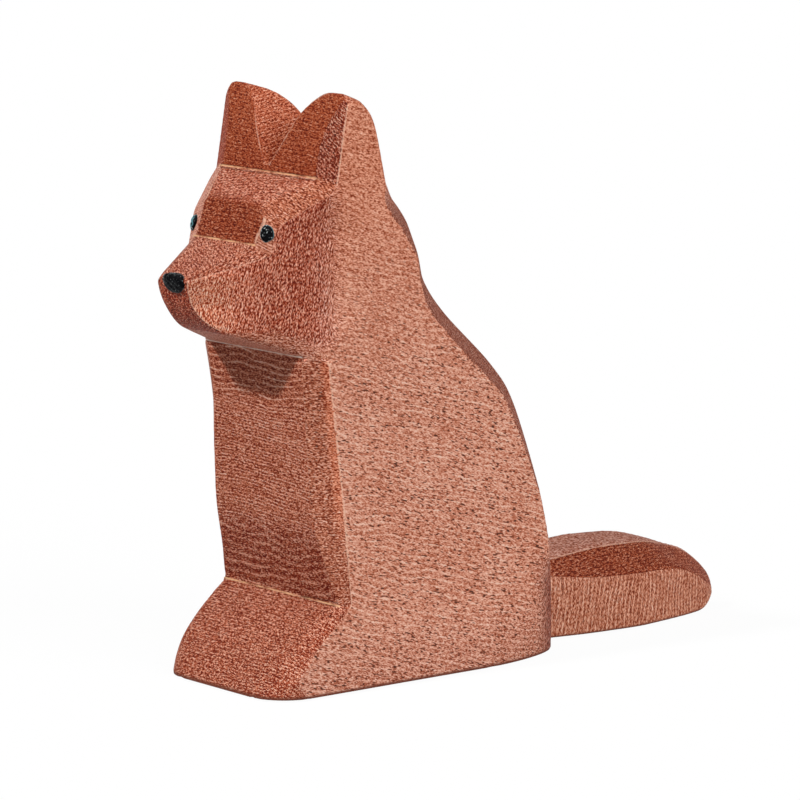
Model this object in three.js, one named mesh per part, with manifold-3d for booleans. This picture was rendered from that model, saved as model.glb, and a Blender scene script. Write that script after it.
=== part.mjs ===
// A sitting dog carved from one sawn board, with a tail block pegged on behind
// and eyes and nose dabbed on in paint.
// Millimetres, +Z up. The dog faces -Y, its left side is +X, and the origin is
// the middle of its footprint on the table.

import * as THREE from "three";
import { mergeVertices } from "three/addons/utils/BufferGeometryUtils.js";
import Module from "manifold-3d";

// Board
const boardThickness = 29.1;

// Side outline of the board: each set-back runs from the line of the toes towards the
// tail, and each rise or drop is a height above or below the point before it
const pawCreaseSetback = 12.2;
const pawCreaseRise = 12.9;
const pawSwell = 0.7;
const chestHollowSetback = 9.2;
const chestHollowRise = 11.1;
const chestSetback = 8.3;
const chestRise = 9;
const chinSetback = 7.1;
const chinRise = 16.8;
const jawSetback = -1.7;
const jawRise = 3.3;
const lipSetback = -5.7;
const lipRise = 1.5;
const noseSetback = -7.3;
const noseRise = 6.7;
const stopSetback = 1.9;
const stopRise = 4.8;
const browSetback = 3.6;
const browRise = 5.6;
const earBaseSetback = 10;
const foreheadRise = 3.8;
const earTipSetback = 13.6;
const earRise = 12.2;
const earFrontSetback = 11.1;
const earFrontDrop = 4.1;
const earCrownSetback = 16.1;
const earCrownDrop = 1.7;
const earBackSetback = 18;
const earBackDrop = 3;
const earHeelSetback = 20.3;
const earHeelDrop = 8.8;
const napeSetback = 25.5;
const napeDrop = 4.2;
const neckSetback = 26.6;
const neckDrop = 6.4;
const shoulderBladeSetback = 28.2;
const shoulderBladeDrop = 4.2;
const withersSetback = 33.6;
const withersDrop = 5.4;
const backSetback = 42.6;
const backDrop = 8.5;
const hipSetback = 46.2;
const hipDrop = 6.2;
const rumpSetback = 50.4;
const rumpDrop = 13.3;
const rumpFootSetback = 56.6;

// Heights above the table, up the front and down the back
const pawCreaseHeight = pawCreaseRise;
const chestHollowHeight = pawCreaseHeight + chestHollowRise;
const chestHeight = chestHollowHeight + chestRise;
const chinHeight = chestHeight + chinRise;
const jawHeight = chinHeight + jawRise;
const lipHeight = jawHeight + lipRise;
const noseHeight = lipHeight + noseRise;
const stopHeight = noseHeight + stopRise;
const browHeight = stopHeight + browRise;
const earBaseHeight = browHeight + foreheadRise;
const earTipHeight = earBaseHeight + earRise;
const earFrontHeight = earTipHeight - earFrontDrop;
const earCrownHeight = earTipHeight - earCrownDrop;
const earBackHeight = earCrownHeight - earBackDrop;
const earHeelHeight = earBackHeight - earHeelDrop;
const napeHeight = earHeelHeight - napeDrop;
const neckHeight = napeHeight - neckDrop;
const shoulderBladeHeight = neckHeight - shoulderBladeDrop;
const withersHeight = shoulderBladeHeight - withersDrop;
const backHeight = withersHeight - backDrop;
const hipHeight = backHeight - hipDrop;
const rumpHeight = hipHeight - rumpDrop;

// Knife cuts on the head, with half-widths measured from the middle of the board
const cheekSetback = 9.4;
const noseHalfWidth = 3.3;
const browHalfWidth = 6.8;
const eyeFacetTurn = 17.5;
const templeSetback = 5.8;
const templeDrop = 1.4;
const shoulderSetback = 0.7;
const shoulderRise = 2.6;
const earBevelWidth = 3.1;
const earBevelDepth = 1.5;
const notchFloorRise = 1.1;
const notchWallHalfWidth = 4.2;
const notchWallDrop = 4.9;
const notchCrownHalfWidth = 7.4;
const notchRise = 5;
const jawBevelFrontSetback = -5.5;
const jawBevelFrontRise = 0.4;
const jawBevelBackRise = 2.4;
const cutLap = 0.3;
const rightPawCut = 0.45;

// Front corners of the chest and paws: at a height, how far the cut runs back along
// the side face, how far across the front, and how round it is from 0, flat, to 1
const frontCorner = [
  { height: chinHeight, side: 1.9, face: 3, round: 0 },
  { height: chestHeight, side: 3, face: 3.1, round: 0 },
  { height: chestHollowHeight, side: 3.6, face: 2.7, round: 0 },
  { height: pawCreaseHeight, side: 1.8, face: 1.1, round: 0.2 },
  { height: 11, side: 2.2, face: 2, round: 0.3 },
  { height: 6, side: 1.9, face: 4, round: 0.4 },
  { height: 2.5, side: 2.4, face: 5.2, round: 0.5 },
  { height: 0, side: 6, face: 6.3, round: 0.75 },
];

// Back corners from the ears to the foot of the rump, measured in the same way
const backCorner = [
  { height: earTipHeight, side: 0.4, face: 0.5, round: 0 },
  { height: earHeelHeight, side: 0.5, face: 0.4, round: 0 },
  { height: napeHeight, side: 3.8, face: 2.7, round: 0 },
  { height: neckHeight, side: 0.6, face: 0.3, round: 0 },
  { height: shoulderBladeHeight, side: 1.3, face: 0.9, round: 0 },
  { height: withersHeight, side: 4.1, face: 2.6, round: 0 },
  { height: backHeight, side: 4.4, face: 2.7, round: 0 },
  { height: hipHeight, side: 2.3, face: 1.6, round: 0 },
  { height: rumpHeight, side: 0.7, face: 0.6, round: 0 },
  { height: 18, side: 0.7, face: 0.6, round: 0.2 },
  { height: 12, side: 4, face: 1.8, round: 0.4 },
  { height: 6, side: 10, face: 3.4, round: 0.5 },
  { height: 0, side: 16, face: 5, round: 0.55 },
];

// Tail: cross-sections along its length from the seat, with the half-width and height
// of the upright side, of the ridge above the knife bevel, and the height of the crown
const tailSections = [
  { along: -4, half: 3.2, side: 10.6, ridgeHalf: 2.6, ridge: 12.4, crown: 14.2 },
  { along: 4, half: 4.7, side: 9.9, ridgeHalf: 3.5, ridge: 12.4, crown: 14.7 },
  { along: 12, half: 6.1, side: 9, ridgeHalf: 3.9, ridge: 13.2, crown: 15 },
  { along: 20, half: 6.7, side: 8.7, ridgeHalf: 3.5, ridge: 13.2, crown: 14.5 },
  { along: 26, half: 6.1, side: 8.5, ridgeHalf: 2.3, ridge: 12.6, crown: 13.1 },
  { along: 31, half: 5.2, side: 7.8, ridgeHalf: 0.8, ridge: 11.3, crown: 11.5 },
  { along: 35, half: 4.1, side: 5.9, ridgeHalf: 0.7, ridge: 9.7, crown: 9.9 },
  { along: 38.5, half: 2.7, side: 3.6, ridgeHalf: 0.6, ridge: 7, crown: 7.2 },
  { along: 40.6, half: 1.3, side: 1.7, ridgeHalf: 0.4, ridge: 3.8, crown: 4 },
];
const tailStep = 1.5;
const trackSteps = 160;

// Glued joint between the rump and the tail
const glueLine = 0.3;
const dowelDiameter = 5;
const dowelLength = 20;
const dowelHeight = 7.5;
const dowelClearance = 0.3;
const dowelEndGap = 0.6;

// Paint dabs
const eyeOutset = 1.8;
const eyeRise = 1.7;
const eyeDiameter = 2.2;
const eyeThickness = 0.4;
const noseWidth = 5.2;
const noseDepth = 2.7;
const noseDabHeight = 3.6;
const noseDrop = 0.5;
const paintGap = 0.2;

// Fineness of curves and of the stacked sections
const curveSteps = 4;
const roundSteps = 4;
const dowelSides = 24;
const dabSides = 20;
const dabRings = 10;

const halfThickness = boardThickness / 2;
const notchHeight = earBaseHeight + notchFloorRise;
const notchWallHeight = earTipHeight - notchWallDrop;
const overshoot = 3;
const wide = 4 * (earTipHeight + rumpFootSetback);
const mergeDistance = 1e-4;

const wasm = await Module();
wasm.setup();

// Turns a closed three.js geometry into a solid, with shared corners merged and faces outwards.
function solid(geometry) {
  const bare = new THREE.BufferGeometry();
  bare.setAttribute("position", geometry.getAttribute("position"));
  bare.setIndex(geometry.index);
  const merged = mergeVertices(bare, mergeDistance);
  const vertProperties = merged.getAttribute("position").array;
  const triVerts = Uint32Array.from(merged.index.array);
  const made = new wasm.Manifold(new wasm.Mesh({ numProp: 3, vertProperties, triVerts }));
  if (made.volume() > 0) return made;
  const turned = Uint32Array.from(triVerts, (v, i) => triVerts[i - (i % 3) + 2 - (i % 3)]);
  return new wasm.Manifold(new wasm.Mesh({ numProp: 3, vertProperties, triVerts: turned }));
}

// Flat-shaded three.js mesh of a solid.
function meshOf(name, shape, material) {
  const { vertProperties, triVerts } = shape.getMesh();
  const indexed = new THREE.BufferGeometry();
  indexed.setAttribute("position", new THREE.BufferAttribute(vertProperties, 3));
  indexed.setIndex(new THREE.BufferAttribute(triVerts, 1));
  const geometry = indexed.toNonIndexed();
  geometry.computeVertexNormals();
  const mesh = new THREE.Mesh(geometry, material);
  mesh.name = name;
  return mesh;
}

// Skin over a row of like-sized rings, closed by a flat cap at each end.
function loft(rings, across, up) {
  const flat = (ring) => ring.map((p) => new THREE.Vector2(p[across], p[up]));
  const clockwise = THREE.ShapeUtils.isClockWise(flat(rings[0]));
  const loops = clockwise ? rings.map((ring) => [...ring].reverse()) : rings;
  const count = loops[0].length;
  const last = (loops.length - 1) * count;
  const index = [];
  for (let start = 0; start < last; start += count) {
    for (let j = 0; j < count; j++) {
      const a = start + j;
      const b = start + ((j + 1) % count);
      index.push(a, b, b + count, a, b + count, a + count);
    }
  }
  for (const [a, b, c] of THREE.ShapeUtils.triangulateShape(flat(loops[0]), [])) {
    index.push(c, b, a);
  }
  for (const [a, b, c] of THREE.ShapeUtils.triangulateShape(flat(loops.at(-1)), [])) {
    index.push(last + a, last + b, last + c);
  }
  const geometry = new THREE.BufferGeometry().setFromPoints(loops.flat());
  geometry.setIndex(index);
  return geometry;
}

// Block that fills one side of the plane through three points, seen anticlockwise from that side.
function beyondPlane(a, b, c) {
  const normal = b.clone().sub(a).cross(c.clone().sub(a)).normalize();
  const turn = new THREE.Quaternion().setFromUnitVectors(new THREE.Vector3(0, 0, 1), normal);
  const block = new THREE.BoxGeometry(wide, wide, wide).translate(0, 0, wide / 2);
  return solid(block.applyQuaternion(turn).translate(a.x, a.y, a.z));
}

// The same on the right side of the dog, with the points mirrored.
function beyondPlaneOn(side, a, b, c) {
  const flip = (p) => new THREE.Vector3(p.x * side, p.y, p.z);
  return side > 0 ? beyondPlane(a, b, c) : beyondPlane(flip(a), flip(c), flip(b));
}

const point = (x, y, z) => new THREE.Vector3(x, y, z);
const spot = (setback, height) => new THREE.Vector2(setback, height);

// Sawn outline, as curves from the toes up the front, over the head and down the back
const toes = spot(0, 0);
const pawCrease = spot(pawCreaseSetback, pawCreaseHeight);
const chin = spot(chinSetback, chinHeight);
const nose = spot(noseSetback, noseHeight);
const stop = spot(stopSetback, stopHeight);
const brow = spot(browSetback, browHeight);
const earBase = spot(earBaseSetback, earBaseHeight);
const earTip = spot(earTipSetback, earTipHeight);
const earHeel = spot(earHeelSetback, earHeelHeight);
const rump = spot(rumpSetback, rumpHeight);
const rumpFoot = spot(rumpFootSetback, 0);

const pawSwellPoint = toes.clone().lerp(pawCrease, 0.5).add(spot(-pawSwell, pawSwell));
const pawFront = new THREE.QuadraticBezierCurve(toes, pawSwellPoint, pawCrease);
const chestFront = new THREE.SplineCurve([
  pawCrease,
  spot(chestHollowSetback, chestHollowHeight),
  spot(chestSetback, chestHeight),
  chin,
]);
const jawPoint = spot(jawSetback, jawHeight);
const lip = new THREE.QuadraticBezierCurve(jawPoint, spot(lipSetback, lipHeight), nose);
const earFront = new THREE.QuadraticBezierCurve(earBase, spot(earFrontSetback, earFrontHeight), earTip);
const earBack = new THREE.SplineCurve([
  earTip,
  spot(earCrownSetback, earCrownHeight),
  spot(earBackSetback, earBackHeight),
  earHeel,
]);
const nape = spot(napeSetback, napeHeight);
const napeLine = new THREE.LineCurve(earHeel, nape);
const backLine = new THREE.SplineCurve([
  nape,
  spot(neckSetback, neckHeight),
  spot(shoulderBladeSetback, shoulderBladeHeight),
  spot(withersSetback, withersHeight),
  spot(backSetback, backHeight),
  spot(hipSetback, hipHeight),
  rump,
]);
const rumpLine = new THREE.LineCurve(rump, rumpFoot);

const outline = new THREE.Shape();
outline.curves = [
  pawFront,
  chestFront,
  new THREE.LineCurve(chin, jawPoint),
  lip,
  new THREE.LineCurve(nose, stop),
  new THREE.LineCurve(stop, brow),
  new THREE.LineCurve(brow, earBase),
  earFront,
  earBack,
  napeLine,
  backLine,
  rumpLine,
  new THREE.LineCurve(rumpFoot, toes),
];

// Sawn points of one long edge, from the bottom up.
function edgePoints(...curves) {
  const path = new THREE.CurvePath();
  path.curves = curves;
  return path.getPoints(curveSteps).sort((a, b) => a.y - b.y);
}

const frontEdge = edgePoints(pawFront, chestFront);
const backEdge = edgePoints(earBack, napeLine, backLine, rumpLine);

// Cut sizes of a corner at a height, between the rows that are given.
function cutAt(rows, height) {
  const sorted = [...rows].sort((a, b) => a.height - b.height);
  const last = sorted.length - 1;
  const upper = sorted.findIndex((row, i) => i > 0 && (row.height >= height || i === last));
  const low = sorted[upper - 1];
  const high = sorted[upper];
  const share = THREE.MathUtils.clamp((height - low.height) / (high.height - low.height), 0, 1);
  const mix = (key) => THREE.MathUtils.lerp(low[key], high[key], share);
  return { side: mix("side"), face: mix("face"), round: mix("round") };
}

// Waste off one long corner of the board: level slices from the foot up, each a triangle
// over the corner whose inner side is the knife cut, straight or bulging towards the corner.
function cornerWaste(rows, edge, facing, side) {
  const rings = edge.map(({ x: setback, y: height }) => {
    const cutSize = cutAt(rows, height);
    const corner = spot(halfThickness, setback);
    const onSide = spot(halfThickness, setback - facing * cutSize.side);
    const onFace = spot(halfThickness - cutSize.face, setback);
    const bulge = onSide.clone().lerp(onFace, 0.5).lerp(corner, cutSize.round);
    const cut = new THREE.QuadraticBezierCurve(onSide, bulge, onFace).getPoints(roundSteps);
    const before = onSide.clone().sub(bulge).setLength(overshoot).add(onSide);
    const after = onFace.clone().sub(bulge).setLength(overshoot).add(onFace);
    const outside = spot(halfThickness + 2 * overshoot, setback + facing * 2 * overshoot);
    return [before, ...cut, after, outside].map((p) => point(side * p.x, p.y, height));
  });
  const below = rings[0].map((p) => point(p.x, p.y, -overshoot));
  return solid(loft([below, ...rings], "x", "y"));
}

// Half-width of the cheek plane at a set-back, from the side of the board to the nose
const cheekAt = (setback) =>
  THREE.MathUtils.mapLinear(setback, cheekSetback, noseSetback, halfThickness, noseHalfWidth);

// Waste in front of one cheek: a triangle in plan, from the chin to above the ears.
function cheekWaste(side) {
  const front = noseSetback - overshoot;
  const behind = cheekSetback + overshoot;
  const plan = [
    point(side * cheekAt(behind), behind, 0),
    point(side * cheekAt(front), front, 0),
    point(side * (halfThickness + wide), front, 0),
  ];
  const at = (height) => plan.map((p) => point(p.x, p.y, height));
  return solid(loft([at(chinHeight), at(earTipHeight + overshoot)], "x", "y"));
}

// Waste under one cheek: a long flat cut from the lip, and a short one that meets the chest.
function jawWaste(side) {
  const [chestTop] = frontCorner;
  const onFace = point(halfThickness - chestTop.face, chinSetback, chinHeight);
  const onSide = point(halfThickness, chinSetback + chestTop.side, chinHeight);
  const back = point(cheekAt(chinSetback), chinSetback, chinHeight + jawBevelBackRise);
  const front = point(cheekAt(jawBevelFrontSetback), jawBevelFrontSetback, lipHeight + jawBevelFrontRise);
  const under = point(onFace.x - cutLap, onFace.y, onFace.z);
  const bevel = beyondPlaneOn(side, front, under, back);
  const corner = beyondPlaneOn(side, onFace, onSide, back);
  const bottom = chinHeight - cutLap;
  const level = [point(0, 0, bottom), point(1, 0, bottom), point(0, 1, bottom)];
  return bevel.intersect(corner).intersect(beyondPlane(...level));
}

// Waste in front of one eye: the facet turns back from the side edge of the brow, and the
// shoulder below it falls from the stop to the cheek.
function eyePlane() {
  const top = point(browHalfWidth, browSetback, browHeight);
  const foot = point(browHalfWidth, stopSetback, stopHeight);
  const turn = THREE.MathUtils.degToRad(eyeFacetTurn);
  return { top, foot, out: foot.clone().add(point(Math.cos(turn), Math.sin(turn), 0)) };
}

function eyeWaste(side) {
  const { top, foot, out } = eyePlane();
  const facet = beyondPlaneOn(side, foot, out, top);
  const inner = point(browHalfWidth - cutLap, stopSetback, stopHeight);
  const tip = point(noseHalfWidth - cutLap, noseSetback, noseHeight);
  const shoulder = point(cheekAt(shoulderSetback), shoulderSetback, noseHeight + shoulderRise);
  return facet.intersect(beyondPlaneOn(side, inner, tip, shoulder));
}

// Waste above one temple and in front of the outer corner of the ear.
function earWaste(side) {
  const crease = point(halfThickness - earBevelWidth, earBaseSetback, earBaseHeight);
  const outer = point(halfThickness, earBaseSetback + earBevelDepth, earBaseHeight);
  const tip = point(halfThickness, earTipSetback, earTipHeight);
  const inner = point(crease.x - cutLap, crease.y, crease.z);
  const bevel = beyondPlaneOn(side, inner, outer, tip);
  const corner = point(browHalfWidth - cutLap, browSetback, browHeight);
  const temple = point(cheekAt(templeSetback), templeSetback, browHeight - templeDrop);
  return bevel.intersect(beyondPlaneOn(side, corner, temple, crease));
}

// V between the ears: straight walls that roll over to the tips, sawn from front to back.
function notchWaste() {
  const shape = new THREE.Shape();
  shape.moveTo(0, notchHeight);
  shape.lineTo(notchWallHalfWidth, notchWallHeight);
  shape.quadraticCurveTo(notchCrownHalfWidth, earTipHeight, halfThickness, earTipHeight);
  shape.lineTo(halfThickness + overshoot, earTipHeight);
  shape.lineTo(halfThickness + overshoot, earTipHeight + overshoot);
  shape.lineTo(-halfThickness - overshoot, earTipHeight + overshoot);
  shape.lineTo(-halfThickness - overshoot, earTipHeight);
  shape.lineTo(-halfThickness, earTipHeight);
  shape.quadraticCurveTo(-notchCrownHalfWidth, earTipHeight, -notchWallHalfWidth, notchWallHeight);
  const depth = earHeelSetback - earBaseSetback + 2 * overshoot;
  const cut = new THREE.ExtrudeGeometry(shape, { depth, bevelEnabled: false, curveSegments: curveSteps });
  cut.rotateX(Math.PI / 2).translate(0, depth - overshoot, -notchHeight);
  cut.rotateX(THREE.MathUtils.degToRad(notchRise));
  return solid(cut.translate(0, earBaseSetback, notchHeight));
}

// Square peg axis: out of the sawn rump, which leans forward from its foot
const rumpTilt = Math.atan2(rumpFootSetback - rumpSetback, rumpHeight);
const seatMiddle = point(0, rumpFootSetback - dowelHeight * Math.tan(rumpTilt), dowelHeight);
const seatOut = point(0, Math.cos(rumpTilt), Math.sin(rumpTilt));

// Round bar on the peg axis, centred on the joint.
function pegBar(diameter, length) {
  const bar = new THREE.CylinderGeometry(diameter / 2, diameter / 2, length, dowelSides);
  return solid(bar.rotateX(rumpTilt).translate(seatMiddle.x, seatMiddle.y, seatMiddle.z));
}

const dowelHole = pegBar(dowelDiameter + 2 * dowelClearance, dowelLength + 2 * dowelEndGap);

// The right paw keeps more of its corner than the left.
function lessPaw(row) {
  if (row.height > pawCreaseHeight) return row;
  return { ...row, side: row.side * rightPawCut, face: row.face * rightPawCut };
}

function carveBody() {
  const blank = new THREE.ExtrudeGeometry(outline, {
    depth: boardThickness,
    bevelEnabled: false,
    curveSegments: curveSteps,
  });
  const stand = new THREE.Matrix4().makeBasis(point(0, 1, 0), point(0, 0, 1), point(1, 0, 0));
  let body = solid(blank.translate(0, 0, -halfThickness).applyMatrix4(stand));
  for (const side of [1, -1]) {
    body = body.subtract(cheekWaste(side));
    body = body.subtract(jawWaste(side));
    body = body.subtract(eyeWaste(side));
    body = body.subtract(earWaste(side));
    const front = side > 0 ? frontCorner : frontCorner.map(lessPaw);
    body = body.subtract(cornerWaste(front, frontEdge, -1, side));
    body = body.subtract(cornerWaste(backCorner, backEdge, 1, side));
  }
  return body.subtract(notchWaste()).subtract(dowelHole);
}

// Tail lofted through its cross-sections, and sawn at its front to lie along the rump.
function carveTail() {
  const keys = ["half", "side", "ridgeHalf", "ridge", "crown"];
  const first = tailSections[0].along;
  const length = tailSections.at(-1).along - first;
  const stations = Math.round(length / tailStep);
  const tracks = keys.map(
    (key) => new THREE.SplineCurve(tailSections.map((section) => spot(section.along, section[key]))),
  );
  const valueAt = (track, along) => {
    const path = track.getPoints(trackSteps);
    const after = Math.max(1, path.findIndex((p) => p.x >= along));
    const from = path[after - 1];
    const to = path[after];
    return THREE.MathUtils.mapLinear(along, from.x, to.x, from.y, to.y);
  };
  const rings = [];
  for (let i = 0; i <= stations; i++) {
    const along = first + (length * i) / stations;
    const [half, upright, ridgeHalf, ridge, crown] = tracks.map((track) => valueAt(track, along));
    const left = [spot(half, 0), spot(half, upright), spot(ridgeHalf, ridge)];
    const right = left.map((p) => spot(-p.x, p.y)).reverse();
    const ring = [...left, spot(0, crown), ...right];
    rings.push(ring.map((p) => point(p.x, rumpFootSetback + along, p.y)));
  }
  const seat = seatMiddle.clone().addScaledVector(seatOut, glueLine);
  const across = point(1, 0, 0);
  const upSeat = seatOut.clone().cross(across);
  const waste = beyondPlane(seat, seat.clone().add(across), seat.clone().sub(upSeat));
  return solid(loft(rings, "z", "x")).subtract(waste).subtract(dowelHole);
}

// Low round dab on the plane of an eye facet, out from the brow and up from the stop.
function eyeDab(side) {
  const { top, foot, out } = eyePlane();
  const normal = out.clone().sub(foot).cross(top.clone().sub(foot)).normalize();
  const profile = new THREE.EllipseCurve(0, 0, eyeDiameter / 2, eyeThickness, 0, Math.PI / 2);
  const dab = new THREE.LatheGeometry([spot(0, 0), ...profile.getPoints(dabRings / 2)], dabSides);
  const setback = foot.y - (eyeOutset * normal.x + eyeRise * normal.z) / normal.y;
  const place = point(foot.x + eyeOutset, setback, foot.z + eyeRise).addScaledVector(normal, paintGap);
  const turn = new THREE.Quaternion().setFromUnitVectors(point(0, 1, 0), normal);
  dab.applyQuaternion(turn).translate(place.x, place.y, place.z);
  return solid(dab.scale(side, 1, 1));
}

// Rounded dab over the front edge of the muzzle, cut to the wood that it covers.
function noseDab(body) {
  const dab = new THREE.SphereGeometry(0.5, dabSides, dabRings).scale(noseWidth, noseDepth, noseDabHeight);
  const blob = solid(dab.translate(0, noseSetback, noseHeight - noseDrop));
  const pieces = blob.subtract(body).decompose();
  return pieces.reduce((a, b) => (a.volume() > b.volume() ? a : b));
}

const wood = (color) => new THREE.MeshStandardMaterial({ color, roughness: 0.75, metalness: 0 });
const paint = () => new THREE.MeshStandardMaterial({ color: 0x0a0a0a, roughness: 0.35, metalness: 0 });

const bodySolid = carveBody();
const dog = new THREE.Group();
dog.add(meshOf("body", bodySolid, wood(0xc2846d)));
dog.add(meshOf("tail", carveTail(), wood(0xad6d55)));
dog.add(meshOf("tail_dowel", pegBar(dowelDiameter, dowelLength), wood(0xd9b48a)));
dog.add(meshOf("eye_left", eyeDab(1), paint()));
dog.add(meshOf("eye_right", eyeDab(-1), paint()));
const noseMesh = meshOf("nose", noseDab(bodySolid), paint());
noseMesh.position.set(0, -paintGap, paintGap);
dog.add(noseMesh);

// The origin goes to the middle of the footprint
const extent = new THREE.Box3().setFromObject(dog);
dog.position.y = -extent.getCenter(new THREE.Vector3()).y;

export default dog;
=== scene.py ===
import bpy
import numpy as np
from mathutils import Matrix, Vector


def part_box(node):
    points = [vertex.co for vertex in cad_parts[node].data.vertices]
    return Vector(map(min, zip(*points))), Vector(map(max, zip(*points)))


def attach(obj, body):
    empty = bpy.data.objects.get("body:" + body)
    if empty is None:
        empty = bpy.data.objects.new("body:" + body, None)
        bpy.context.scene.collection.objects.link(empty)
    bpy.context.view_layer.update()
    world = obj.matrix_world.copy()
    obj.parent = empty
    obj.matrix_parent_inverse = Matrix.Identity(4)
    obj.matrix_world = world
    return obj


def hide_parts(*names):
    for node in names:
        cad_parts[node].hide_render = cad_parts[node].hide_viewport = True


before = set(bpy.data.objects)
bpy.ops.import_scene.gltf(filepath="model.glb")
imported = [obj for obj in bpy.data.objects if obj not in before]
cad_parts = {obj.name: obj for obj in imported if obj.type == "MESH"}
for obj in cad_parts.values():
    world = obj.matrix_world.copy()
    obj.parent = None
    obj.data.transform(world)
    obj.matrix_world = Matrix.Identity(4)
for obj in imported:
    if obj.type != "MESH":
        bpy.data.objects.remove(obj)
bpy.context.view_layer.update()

# Camera: a long lens at the height of the dog's back, a quarter turn round to its left,
# aimed a little in front of the middle of the chest.
scene = bpy.context.scene
scene.view_settings.view_transform = "Standard"
mm = 0.001
picture_width = 800
focal_pixels = 4709
sensor_width = 36
camera_turn = np.radians(51.047)
camera_lift = np.radians(9.06)
camera_distance = 706 * mm
camera_target = Vector((0.25, -9.675, 39.432)) * mm


def outward(turn, lift):
    """Unit vector towards a place: turn is measured from the dog's front to its left, lift from level."""
    return Vector((np.cos(lift) * np.sin(turn), -np.cos(lift) * np.cos(turn), np.sin(lift)))


lens = bpy.data.cameras.new("camera")
lens.sensor_width = sensor_width
lens.lens = focal_pixels / picture_width * sensor_width
lens.clip_start = 0.01
camera = bpy.data.objects.new("camera", lens)
camera.location = camera_target + outward(camera_turn, camera_lift) * camera_distance
camera.rotation_euler = outward(camera_turn, camera_lift).to_track_quat("Z", "Y").to_euler()
scene.collection.objects.link(camera)
scene.camera = camera

# Studio: a pale table that runs out of sight, one broad lamp on the dog's left side and
# a smaller, higher one in front of it that leaves a shadow under the chin.


def node(tree, kind, feeds=None, **settings):
    """One shader node: feeds gives each input a value or the output that drives it."""
    made = tree.nodes.new(kind if kind.startswith("Node") else "ShaderNode" + kind)
    for name, value in settings.items():
        setattr(made, name, value)
    for name, value in (feeds or {}).items():
        socket = made.inputs[name]
        if isinstance(value, bpy.types.NodeSocket):
            tree.links.new(value, socket)
        else:
            socket.default_value = value
    return made


def seen_directly(tree):
    """Light Path mask: 1 where the eye, a reflection or a refraction looks, 0 for light that falls."""
    path = node(tree, "LightPath")
    mirror = node(tree, "Math", {0: path.outputs["Is Camera Ray"], 1: path.outputs["Is Glossy Ray"]},
                  operation="MAXIMUM")
    return node(tree, "Math", {0: mirror.outputs[0], 1: path.outputs["Is Transmission Ray"]},
                operation="MAXIMUM").outputs[0]


def studio_lamp(name, turn, lift, strength, spread):
    """Lamp far away in one direction; spread is the angle that it covers in the sky, in degrees."""
    lamp = bpy.data.lights.new(name, "SUN")
    lamp.energy = strength
    lamp.angle = np.radians(spread)
    stand = bpy.data.objects.new(name, lamp)
    direction = outward(np.radians(turn), np.radians(lift))
    stand.location = direction
    stand.rotation_euler = direction.to_track_quat("Z", "Y").to_euler()
    scene.collection.objects.link(stand)


studio_lamp("side_lamp", turn=95, lift=25, strength=2.5, spread=45)
studio_lamp("front_lamp", turn=-4, lift=45, strength=2.3, spread=4)

fill_light = 0.15
pure_white = (1, 1, 1, 1)
world = bpy.data.worlds.new("studio")
world.use_nodes = True
scene.world = world
sky = world.node_tree
sky.nodes.clear()
fall = node(sky, "Background", {"Color": pure_white, "Strength": fill_light})
show = node(sky, "Background", {"Color": pure_white, "Strength": 1.0})
choose = node(sky, "MixShader", {0: seen_directly(sky), 1: fall.outputs[0], 2: show.outputs[0]})
node(sky, "OutputWorld", {"Surface": choose.outputs[0]})

table_half = 1.2
table_drop = 0.0002
table_share = 0.04
table_grey = (0.45, 0.45, 0.45, 1)
table_mesh = bpy.data.meshes.new("table_top")
table_sides = ((-1, -1), (1, -1), (1, 1), (-1, 1))
table_corners = [(x * table_half, y * table_half, -table_drop) for x, y in table_sides]
table_mesh.from_pydata(table_corners, [], [(0, 1, 2, 3)])
table = bpy.data.objects.new("table_top", table_mesh)
scene.collection.objects.link(table)
table_paint = bpy.data.materials.new("pale_table")
table_paint.use_nodes = True
tree = table_paint.node_tree
tree.nodes.clear()
seen = seen_directly(tree)
matt_tone = node(tree, "Mix", {0: seen, 6: table_grey, 7: pure_white}, data_type="RGBA")
matt = node(tree, "BsdfDiffuse", {"Color": matt_tone.outputs[2]})
glow = node(tree, "Emission", {"Color": pure_white, "Strength": 1.0})
white = node(tree, "Math", {0: seen, 1: 1 - table_share}, operation="MULTIPLY")
top = node(tree, "MixShader", {0: white.outputs[0], 1: matt.outputs[0], 2: glow.outputs[0]})
node(tree, "OutputMaterial", {"Surface": top.outputs[0]})
table_mesh.materials.append(table_paint)

# Body: head, ears, chest and paws in one upright board of close-grained wood, sawn to its side
# outline, then cut with a knife at the corners and on the head, sanded and oiled. The cuts cross
# each other freely, so the board is worked out as a block and each cut takes off what lies beyond it.
half_board = 14.55
nose_line = -7.3
toe_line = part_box("body")[0].y / mm - nose_line


def arc(start, pull, end, steps=16):
    """Curve from start to end that leans towards pull: weights (1-t)^2, 2t(1-t) and t^2 on the three."""
    t = np.linspace(0, 1, steps + 1)[:, None]
    return (1 - t) ** 2 * np.array(start) + 2 * t * (1 - t) * np.array(pull) + t ** 2 * np.array(end)


def sweep(*points, steps=10):
    """Smooth line through points: a cubic on each span, its slope at a point half the step past it."""
    p = np.array(points, float)
    p = np.vstack([p[:1], p, p[-1:]])
    t = np.linspace(0, 1, steps, endpoint=False)[:, None]
    a, b, c, d = p[:-3, None], p[1:-2, None], p[2:-1, None], p[3:, None]
    spans = b + 0.5 * ((c - a) * t + (2 * a - 5 * b + 4 * c - d) * t ** 2 + (3 * b - a - 3 * c + d) * t ** 3)
    return np.vstack([spans.reshape(-1, p.shape[1]), p[-1:]])


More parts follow.
